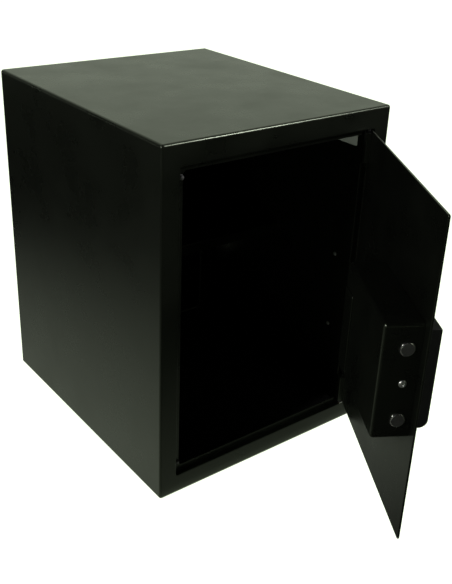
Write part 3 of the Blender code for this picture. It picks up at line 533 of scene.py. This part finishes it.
def flap_skin():
    """Flap from one sheet: rolled knuckle, flat, and a hemmed finger pull."""
    low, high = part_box("deposit_flap")
    axis = Vector(JOINTS["flap_hinge"]["pos_m"])
    thickness = 1.5 * MM
    roll = 2.15 * MM + thickness / 2
    plate_y = axis.y + 1.8 * MM
    tip = (plate_y + 11 * MM, low.z + 0.9 * MM)
    line = []
    for step in range(19):
        angle = math.radians(-35 + 15 * step)
        line.append(Vector((axis.y + roll * math.cos(angle), axis.z + roll * math.sin(angle))))
    line = line[::-1] + [Vector((plate_y, axis.z - 4.5 * MM)), Vector((plate_y, low.z + 4 * MM))]
    for step in range(1, 7):
        angle = math.radians(180 + 78 * step / 6)
        line.append(Vector((plate_y + 2.2 * MM + 2.2 * MM * math.cos(angle),
                            low.z + 4 * MM + 2.2 * MM * math.sin(angle))))
    line.append(Vector(tip))
    flap = new_object("flap_skin", prism(thicken(line, thickness), "x", low.x, high.x))
    notch = (-20 * MM, 20 * MM, axis.z - 10 * MM, axis.z + 10 * MM)
    boolean(flap, loft([rounded_ring(notch, y, 2.5 * MM, 4)
                        for y in (axis.y - 10 * MM, axis.y + 10 * MM)]))
    soften(flap, 0.25 * MM, 2, 50)
    finish_piece(flap, "flap", BLACK, ("deposit_flap",))


def baffle_skin():
    """Sloping plate with a rolled fold at each end."""
    low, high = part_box("baffle_plate")
    points = [(high.y - 0.8 * MM, high.z - 18 * MM), (high.y - 0.8 * MM, high.z + 0.4 * MM),
              (low.y + 0.8 * MM, 258.5 * MM), (low.y + 0.8 * MM, low.z)]
    plate = new_object("baffle_skin", prism(sheet_outline(points, 1.5 * MM, 1.6 * MM), "x",
                                            low.x, high.x))
    soften(plate, 0.2 * MM, 2, 50)
    finish_piece(plate, "cabinet", BAFFLE_COAT, ("baffle_plate",))


def mat_skin():
    """Felt mat with a soft edge and a slightly uneven surface."""
    low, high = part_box("floor_mat")
    shape = bmesh.new()
    bmesh.ops.create_grid(shape, x_segments=90, y_segments=104, size=0.5)
    size = high - low
    for vert in shape.verts:
        u, v = vert.co.x, vert.co.y
        edge = min(0.5 - abs(u), 0.5 - abs(v)) * 60
        wave = math.sin(u * 37 + v * 11) * math.sin(v * 29 - u * 7)
        height = size.z * min(1.0, 0.55 + 0.45 * edge) * (0.93 + 0.05 * wave)
        vert.co = ((low.x + high.x) / 2 + u * size.x, (low.y + high.y) / 2 + v * size.y,
                   low.z + height)
    mat = new_object("mat_skin", shape)
    skirt = mat.modifiers.new("thickness", "SOLIDIFY")
    skirt.thickness = 0.8 * MM
    skirt.offset = -1
    bake_modifiers(mat)
    finish_piece(mat, "cabinet", FELT, ("floor_mat",))


def bumper_skins():
    """Rubber bumpers with a domed tip and a flange on the stop lip."""
    for node in ("upper_bumper", "lower_bumper"):
        low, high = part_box(node)
        height, radius = high.y - low.y, (high.x - low.x) / 2
        place = towards(((low.x + high.x) / 2, high.y, (low.z + high.z) / 2), (0, -1, 0))
        profile = [(0, 0), (radius, 0), (radius, 0.5 * MM), (radius - 0.5 * MM, 0.9 * MM),
                   (radius - 0.8 * MM, height * 0.66)]
        for step in range(1, 7):
            angle = math.radians(90 * step / 6)
            profile.append(((radius - 0.8 * MM) * math.cos(angle),
                            height * (0.66 + 0.34 * math.sin(angle))))
        finish_piece(new_object(node + "_skin", turned(profile, 32)), "cabinet",
                     BLACK_RUBBER, (node,), place)


def label_skin():
    """Blank sticker with rounded corners."""
    low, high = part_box("blank_label")
    rect = (low.y, high.y, low.z, high.z)
    rings = [[(x, y, z) for y, _, z in rounded_ring(inset(rect, amount), 0, 2.5 * MM)]
             for amount, x in ((0, high.x), (0, low.x + 0.1 * MM), (0.1 * MM, low.x))]
    finish_piece(new_object("label_skin", loft(rings)), "cabinet", LABEL,
                 ("blank_label",))


def pan_head(name, origin, outward, radius, height, body, node, matrix=None):
    """Pan-head screw with a cross recess; origin is the middle of its seat."""
    profile = [(0, -4 * MM), (radius * 0.42, -4 * MM), (radius * 0.42, 0.2 * MM),
               (radius * 0.94, 0.2 * MM), (radius, 0.5 * MM)]
    for step in range(1, 9):
        angle = math.radians(90 * step / 8)
        profile.append((radius * math.cos(angle), 0.5 * MM + (height - 0.5 * MM) * math.sin(angle)))
    screw = new_object(name, turned(profile, 48))
    for quarter in range(2):
        arm = loft([rounded_ring((-w, w, -t, t), z, t * 0.3, 3) for z, w, t in (
            (height + 0.2 * MM, radius * 0.56, radius * 0.13),
            (height - radius * 0.34, radius * 0.22, radius * 0.08))])
        at(arm, Matrix.Rotation(math.radians(90), 4, "X"))
        at(arm, Matrix.Rotation(math.radians(90 * quarter + 20), 4, "Z"))
        for vert in arm.verts:
            vert.co.z = abs(vert.co.z)
        boolean(screw, arm)
    place = towards(origin, outward)
    finish_piece(screw, body, ZINC, (node,), (matrix @ place) if matrix else place)


def side_screws():
    for side in ("upper", "lower"):
        node = side + "_side_screw"
        low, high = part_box(node)
        pan_head(node + "_head", (RIGHT - SHEET, (low.y + high.y) / 2, (low.z + high.z) / 2),
                 (-1, 0, 0), 3.4 * MM, 2.4 * MM, "cabinet", node)


# ---------------------------------------------------------------- door

def door_skin():
    panel = new_object("door_skin", loft(profile_rings(
        DOOR, 3 * MM, arc((0.8 * MM, DOOR_INNER - 0.8 * MM), 0.8 * MM, 90, 180, 4)
        + arc((1.2 * MM, FRONT + 1.2 * MM), 1.2 * MM, 180, 270, 5))))
    for node in ("upper_hinge_block", "lower_hinge_block"):
        low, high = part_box(node)
        ends = (low.z - 0.3 * MM, DOOR[3] + 9 * MM) if low.z > 0.2 else (
            DOOR[2] - 9 * MM, high.z + 0.3 * MM)
        pocket = (HINGE.x - 8.9 * MM, DOOR[1] + 9 * MM, ends[0], ends[1])
        boolean(panel, loft([rounded_ring(pocket, y, 0.6 * MM, 3)
                             for y in (FRONT + 2 * MM, DOOR_INNER + 9 * MM)]))
    for x, z, radius in ((KNOB[0], KNOB[1], 7 * MM), (*OVERRIDE, 8.3 * MM)):
        hole(panel, (x, FRONT, z), (0, 1, 0), radius)
    finish_piece(panel, "door", BLACK, ("door_panel",), DOOR_TURN)


def cover_skin():
    """Formed cover over the bolt work with its bolt and battery openings."""
    sheet, fold = 1.5 * MM, 4.2 * MM
    base = DOOR_INNER + 0.3 * MM
    outer = arc((fold, COVER_BACK - fold), fold, 180, 90, 8)
    inner = arc((fold, COVER_BACK - fold), fold - sheet, 90, 180, 8)
    rings = profile_rings(COVER, 5.2 * MM, inner + [(sheet, base + 0.3 * MM),
                                                    (sheet - 0.3 * MM, base),
                                                    (0.3 * MM, base), (0, base + 0.3 * MM)]
                          + outer)
    cover = new_object("cover_skin", loft(rings))
    for node in ("lower_bolt", "upper_bolt"):
        hole(cover, (COVER[0], BOLT_Y, middle(node).z), (1, 0, 0), BOLT_RADIUS + 0.5 * MM,
             8 * MM, 64)
    tray = closed_rect("battery_tray")
    window = (tray[0] + 2 * MM, tray[1] - 3 * MM, tray[2] + 2 * MM, tray[3] - 2 * MM)
    boolean(cover, loft([rounded_ring(window, y, 2 * MM, 4)
                         for y in (COVER_BACK - 5 * MM, COVER_BACK + 5 * MM)]))
    soften(cover, 0.25 * MM, 2, 50)
    finish_piece(cover, "door", BLACK, ("lock_cover",), DOOR_TURN)


def battery_lid_skin():
    rect = closed_rect("battery_lid")
    rings = profile_rings(rect, 3 * MM, [(0, COVER_BACK + 0.3 * MM)]
                          + arc((0.6 * MM, COVER_BACK + 0.9 * MM), 0.6 * MM, 180, 90, 4))
    lid = new_object("battery_lid_skin", loft(rings))
    for row in range(5):
        z = rect[3] - 9 * MM - row * 3.2 * MM
        rib = (rect[0] + 7.4 * MM, rect[1] - 7.5 * MM, z, z + 1.4 * MM)
        boolean(lid, loft([rounded_ring(rib, y, 0.7 * MM, 4)
                           for y in (COVER_BACK + 1.0 * MM, COVER_BACK + 3 * MM)]))
    finish_piece(lid, "door", BLACK, ("battery_lid",), DOOR_TURN)


def bolt_skins():
    """Turned bolts: broad chamfer, faint lathe rings on the end."""
    radius, length, chamfer = BOLT_RADIUS, 57.5 * MM, 1.5 * MM
    profile = [(0, -length - 6 * MM), (4 * MM, -length - 6 * MM), (4 * MM, -length),
               (radius - 0.5 * MM, -length), (radius, -length + 0.5 * MM), (radius, -chamfer),
               (radius - 0.25 * MM, -chamfer * 0.62), (radius - chamfer, -0.08 * MM),
               (radius - chamfer - 0.2 * MM, 0), (4 * MM, -0.05 * MM), (0, -0.06 * MM)]
    for node in ("lower_bolt", "upper_bolt"):
        origin = (BOLT_END, BOLT_Y, middle(node).z)
        finish_piece(new_object(node + "_turned", turned(profile)), "bolt_work",
                     BOLT_STEEL, (node,),
                     DOOR_TURN @ towards(origin, (-1, 0, 0)), 25)


def cover_screws():
    for node, x, outward in (("cover_screw", COVER[0], -1), ("rear_cover_screw", COVER[1], 1)):
        pan_head(node + "_head", (x, middle(node).y, middle(node).z), (outward, 0, 0), 5 * MM,
                 3 * MM, "door", node, DOOR_TURN)


# ---------------------------------------------------------------- lock's outer side

def housing_outline(front, back, z0, z1, chin, brow, steps=10):
    """Side view (y, z) of the housing: rounded chin below, small round above."""
    points = [(back, z0)]
    for centre, radius, start in (((front + chin, z0 + chin), chin, 270),
                                  ((front + brow, z1 - brow), brow, 180)):
        for step in range(steps + 1):
            angle = math.radians(start - 90 * step / steps)
            points.append((centre[0] + radius * math.cos(angle),
                           centre[1] + radius * math.sin(angle)))
    return points + [(back, z1)]


def outline_loft(outline, low, high, radius, steps=5):
    """An outline drawn out along X whose two ends are rounded over."""
    count = len(outline)
    middle_y = sum(y for y, _ in outline) / count
    middle_z = sum(z for _, z in outline) / count
    size_y = 0.5 * (max(y for y, _ in outline) - min(y for y, _ in outline))
    size_z = 0.5 * (max(z for _, z in outline) - min(z for _, z in outline))
    rings = []
    for end, sign in ((low, 1), (high, -1)):
        rows = []
        for step in range(steps + 1):
            angle = math.radians(90 * step / steps)
            amount = radius * (1 - math.sin(angle))
            x = end + sign * radius * (1 - math.cos(angle))
            rows.append([(x, middle_y + (y - middle_y) * (1 - amount / size_y),
                          middle_z + (z - middle_z) * (1 - amount / size_z))
                         for y, z in outline])
        rings += rows if sign > 0 else rows[::-1]
    return loft(rings)


def block(low, high):
    return prism([(low[1], low[2]), (high[1], low[2]), (high[1], high[2]), (low[1], high[2])],
                 "x", low[0], high[0])


def keypad_skin():
    front, back, wall = HOUSING_FRONT, FRONT - 0.3 * MM, 2.5 * MM
    x0, x1, z0, z1 = HOUSING
    chin, brow, side = 11 * MM, 2 * MM, 1.5 * MM
    body = outline_loft(housing_outline(front, back + 10 * MM, z0, z1, chin, brow), x0, x1, side)
    housing = new_object("keypad_skin", body)
    boolean(housing, block((x0 - 0.01, back, z0 - 0.01), (x1 + 0.01, back + 0.03, z1 + 0.01)))
    boolean(housing, prism(housing_outline(front + wall, back + 10 * MM, z0 + wall, z1 - wall,
                                           chin - wall, 0.6 * MM), "x", x0 + wall, x1 - wall))
    for key in KEYS:
        x, z = key_place(key)
        window = (x - 7 * MM, x + 7 * MM, z - 6 * MM, z + 6 * MM)
        boolean(housing, loft([rounded_ring(window, y, 2 * MM, 4)
                               for y in (HOUSING_FRONT - 5 * MM, HOUSING_FRONT + 5 * MM)]))
    led = middle("led_window").z
    slot = (KEY_COLUMNS[1] - 12.5 * MM, KEY_COLUMNS[1] + 12.5 * MM, led - 3 * MM, led + 3 * MM)
    boolean(housing, loft([rounded_ring(slot, y, 2.5 * MM, 5)
                           for y in (HOUSING_FRONT - 5 * MM, HOUSING_FRONT + 5 * MM)]))
    for x, z, radius in ((*KNOB, 4.5 * MM), (*OVERRIDE, 8.3 * MM)):
        hole(housing, (x, HOUSING_FRONT, z), (0, 1, 0), radius, 6 * MM)
    soften(housing, 0.35 * MM, 2, 50)
    finish_piece(housing, "door", HOUSING_PLASTIC, ("keypad_housing",), DOOR_TURN)


KEYS = ["1", "2", "3", "4", "5", "6", "7", "8", "9", "clear", "0", "enter"]
KEY_COLUMNS = [middle("key_" + key).x for key in KEYS[:3]]
LEGENDS = {"clear": "C", "enter": "#"}


def key_place(key):
    place = middle("key_" + key)
    return place.x, place.z


def key_skins():
    """Rubber keys with dished tops and raised digits."""
    proud = HOUSING_FRONT - 1.4 * MM
    for key in KEYS:
        x, z = key_place(key)
        rect = (x - 6.7 * MM, x + 6.7 * MM, z - 5.7 * MM, z + 5.7 * MM)
        rings = profile_rings(inset(rect, -1 * MM), 2 * MM, [(0, HOUSING_FRONT + 4.6 * MM),
                                                             (0, HOUSING_FRONT + 2.8 * MM)], 5)
        rings += profile_rings(rect, 1.8 * MM, [(0, HOUSING_FRONT + 2.8 * MM)]
                               + arc((0.8 * MM, proud + 0.8 * MM), 0.8 * MM, 180, 270, 4)
                               + [(2.2 * MM, proud + 0.22 * MM), (4 * MM, proud + 0.3 * MM)], 5)
        finish_piece(new_object("key_cap_" + key, loft(rings)), "key_" + key,
                     KEY_RUBBER, ("key_" + key,), DOOR_TURN)
        legend(key, LEGENDS.get(key, key), x, z, proud)


def legend(key, text, x, z, level):
    """One raised character on a key."""
    curve = bpy.data.curves.new("legend", "FONT")
    curve.body = text
    curve.size = 7.5 * MM
    curve.align_x = "CENTER"
    curve.align_y = "CENTER"
    curve.extrude = 0.12 * MM
    curve.resolution_u = 3
    source = bpy.data.objects.new("legend", curve)
    bpy.context.scene.collection.objects.link(source)
    bpy.context.view_layer.update()
    graph = bpy.context.evaluated_depsgraph_get()
    mesh = bpy.data.meshes.new_from_object(source.evaluated_get(graph))
    bpy.data.objects.remove(source)
    piece = bpy.data.objects.new("legend_" + key, mesh)
    bpy.context.scene.collection.objects.link(piece)
    place = Matrix.Translation((x, level + 0.22 * MM, z)) @ Matrix.Rotation(math.radians(90), 4, "X")
    finish_piece(piece, "key_" + key, LEGEND_INK, (), DOOR_TURN @ place)


def knob_skin():
    """Turning knob: bevelled skirt, tapered grip and a pointer line."""
    back = HOUSING_FRONT - 0.3 * MM
    radius = 21 * MM
    skirt = [(0, 0), (radius - 0.6 * MM, 0), (radius, 0.8 * MM), (radius - 0.6 * MM, 5 * MM),
             (radius - 2 * MM, 6.6 * MM), (radius - 3.4 * MM, 7 * MM), (0, 7 * MM)]
    knob = new_object("knob_skin", turned(skirt, 72))
    grip = loft([rounded_ring((-w, w, -h, h), y, r, 6) for y, w, h, r in (
        (-3 * MM, 6.5 * MM, 18.5 * MM, 5 * MM), (-17.5 * MM, 5.4 * MM, 17.2 * MM, 4.6 * MM),
        (-18.9 * MM, 4.9 * MM, 16.7 * MM, 4.2 * MM), (-19.5 * MM, 3.8 * MM, 15.6 * MM, 3.2 * MM))])
    boolean(knob, at(grip, Matrix.Rotation(math.radians(-90), 4, "X")), "UNION")
    boolean(knob, rod(4.1 * MM, -5 * MM, 11.7 * MM))
    place = DOOR_TURN @ towards((KNOB[0], back, KNOB[1]), (0, -1, 0))
    soften(knob, 0.5 * MM, 3, 50)
    finish_piece(knob, "knob_drive", HOUSING_PLASTIC, ("knob",), place)
    line = new_object("knob_pointer", loft([rounded_ring((-w, w, 4 * MM, 15 * MM), y, w * 0.9, 4)
                                            for y, w in ((-19.3 * MM, 0.7 * MM),
                                                         (-19.62 * MM, 0.7 * MM))]))
    place = DOOR_TURN @ Matrix.Translation((KNOB[0], back, KNOB[1]))
    finish_piece(line, "knob_drive", LEGEND_INK, (), place)


def repaint():
    """Procedural finishes for the CAD nodes that stay."""
    finishes = {
        # The baffle rails take the half-tone coat, painted shade for the cabinet's interior.
        "left_baffle_rail": INSIDE_SHADED, "right_baffle_rail": INSIDE_SHADED, "flap_pin": ZINC,
        "flap_spring": ZINC, "upper_hinge_bush": DARK_STEEL, "lower_hinge_bush": DARK_STEEL,
        "hinge_spacer": BRONZE,
        "upper_hinge_block": BLACK, "lower_hinge_block": BLACK, "upper_hinge_pin": DARK_STEEL,
        "lower_hinge_pin": DARK_STEEL, "bolt_guide": ZINC, "rear_bracket": ZINC,
        "bolt_carriage": ZINC, "knob_spindle": ZINC, "drive_crank": DARK_STEEL,
        "solenoid_body": DARK_STEEL, "solenoid_plunger": STEEL, "battery_tray": HOUSING_PLASTIC,
        "battery_1": WRAP, "battery_2": WRAP, "battery_3": WRAP, "battery_4": WRAP,
        "circuit_board": BOARD, "led_window": LENS, "override_cylinder": STEEL,
        "override_plug": ZINC,
    }
    for node, finish in finishes.items():
        obj = frame["nodes"][node]
        obj.data.materials.clear()
        obj.data.materials.append(finish)


# ---------------------------------------------------------------- stage

def floor():
    bpy.ops.mesh.primitive_plane_add(size=40)
    plane = bpy.context.object
    plane.name = "floor"
    nodes = Nodes("pale_floor")
    nodes.link(nodes.blend(nodes.noise(3, 2.0), (0.20, 0.20, 0.20), (0.22, 0.22, 0.22)),
               "Base Color")
    nodes.set(Roughness=0.9, Emission_Color=(0.90, 1.0, 0.80, 1.0), Emission_Strength=1.26)
    nodes.shader.inputs["Specular IOR Level"].default_value = 0.1
    plane.data.materials.append(nodes.material)


def area_light(name, place, target, size, power):
    light = bpy.data.lights.new(name, "AREA")
    light.shape = "SQUARE"
    light.size = size
    light.energy = power
    obj = bpy.data.objects.new(name, light)
    obj.location = place
    obj.rotation_euler = (Vector(target) - Vector(place)).to_track_quat("-Z", "Y").to_euler()
    bpy.context.scene.collection.objects.link(obj)


def lights():
    """Soft light from above and behind on a pale floor; the room in front stays dark."""
    world = bpy.data.worlds.new("studio")
    bpy.context.scene.world = world
    world.use_nodes = True
    tree = world.node_tree
    background = tree.nodes["Background"]
    place = tree.nodes.new("ShaderNodeTexCoord")
    along = tree.nodes.new("ShaderNodeVectorMath")
    along.operation = "DOT_PRODUCT"
    along.inputs[1].default_value = Vector((0.566, 0.705, 0.427)).normalized()
    tree.links.new(place.outputs["Generated"], along.inputs[0])
    ramp = tree.nodes.new("ShaderNodeMapRange")
    ramp.interpolation_type = "SMOOTHSTEP"
    for name, value in (("From Min", 0.45), ("From Max", 0.93), ("To Min", 0.0), ("To Max", 0.62)):
        ramp.inputs[name].default_value = value
    tree.links.new(along.outputs["Value"], ramp.inputs["Value"])
    tree.links.new(ramp.outputs["Result"], background.inputs["Strength"])
    background.inputs["Color"].default_value = (0.90, 1.0, 0.80, 1.0)
    area_light("edge_light", (1.55, -1.93, 1.80), (-0.1, -0.1, 0.3), 0.25, 60)
    area_light("left_light", (-1.75, -0.30, 1.26), (0, -0.4, 0.3), 0.45, 34)


def black_card(name, corners, cover=None):
    """Black cloth that only dims what the box mirrors; cover makes it thinner in places."""
    mesh = bpy.data.meshes.new(name)
    mesh.from_pydata(corners, [], [(0, 1, 2, 3)])
    card = bpy.data.objects.new(name, mesh)
    bpy.context.scene.collection.objects.link(card)
    nodes = Nodes(name)
    nodes.set(Base_Color=(0.003, 0.003, 0.003, 1), Roughness=1.0)
    nodes.shader.inputs["Specular IOR Level"].default_value = 0.0
    if cover:
        nodes.link(cover(nodes), "Alpha")
    mesh.materials.append(nodes.material)
    card.visible_camera = False
    card.visible_shadow = False
    card.visible_diffuse = False


def cloth_cover(nodes):
    """Denser away from the box, most of all in front of it."""
    split = nodes.add("ShaderNodeSeparateXYZ", {"Vector": nodes.place})
    lean = nodes.add("ShaderNodeMath", {0: split.outputs["Y"], 1: -0.40}, operation="MULTIPLY")
    side = nodes.add("ShaderNodeMath", {0: split.outputs["X"], 1: lean.outputs[0]},
                     operation="ADD").outputs[0]
    beside = nodes.spread(side, 1.0, 0.66, LEFT - 0.58, LEFT)
    ahead = nodes.spread(split.outputs["Y"], 1.0, 0.84, FRONT - 0.30, FRONT)
    within = nodes.spread(split.outputs["Y"], 1.0, 0.0, FRONT - 0.01, FRONT + 0.03)
    front = nodes.add("ShaderNodeMath", {0: ahead, 1: within}, operation="MULTIPLY").outputs[0]
    return nodes.add("ShaderNodeMath", {0: beside, 1: front}, operation="MAXIMUM").outputs[0]


def black_cards():
    level, reach = 4 * MM, 6.0
    black_card("floor_cloth", [(LEFT - reach, FRONT - reach, level),
                               (RIGHT + reach, FRONT - reach, level),
                               (RIGHT + reach, BACK + reach, level),
                               (LEFT - reach, BACK + reach, level)], cloth_cover)
    near, far, level = FRONT - 0.30, FRONT - 0.01, 0.405
    black_card("lock_flag", [(-0.10, near, level), (0.30, near, level), (0.30, far, level),
                             (-0.10, far, level)])


def camera():
    """Lens in millimetres on a 36 mm sensor, placed from the cabinet's lower front left corner."""
    data = bpy.data.cameras.new("camera")
    data.sensor_fit = "AUTO"
    data.sensor_width = 36.0
    data.lens = 52.471233
    data.shift_x = -0.01695
    data.shift_y = -0.0409
    obj = bpy.data.objects.new("camera", data)
    bpy.context.scene.collection.objects.link(obj)
    forward = Vector((0.56644, 0.70503, -0.42672)).normalized()
    up = Vector((0.23105, 0.36116, 0.90343)).normalized()
    right = forward.cross(up)
    turn = Matrix((right, up, -forward)).transposed().to_4x4()
    corner = Vector((LEFT, FRONT, 0.0))
    obj.matrix_world = Matrix.Translation(corner + Vector((-0.5091, -0.7776, 0.7960))) @ turn
    bpy.context.scene.camera = obj


def main():
    camera()
    cabinet_skin()
    rear_panel_skin()
    deposit_surround()
    flap_skin()
    baffle_skin()
    mat_skin()
    bumper_skins()
    label_skin()
    side_screws()
    door_skin()
    cover_skin()
    battery_lid_skin()
    bolt_skins()
    cover_screws()
    keypad_skin()
    key_skins()
    knob_skin()
    repaint()
    floor()
    lights()
    black_cards()
    bpy.context.scene.view_settings.view_transform = "Standard"


main()
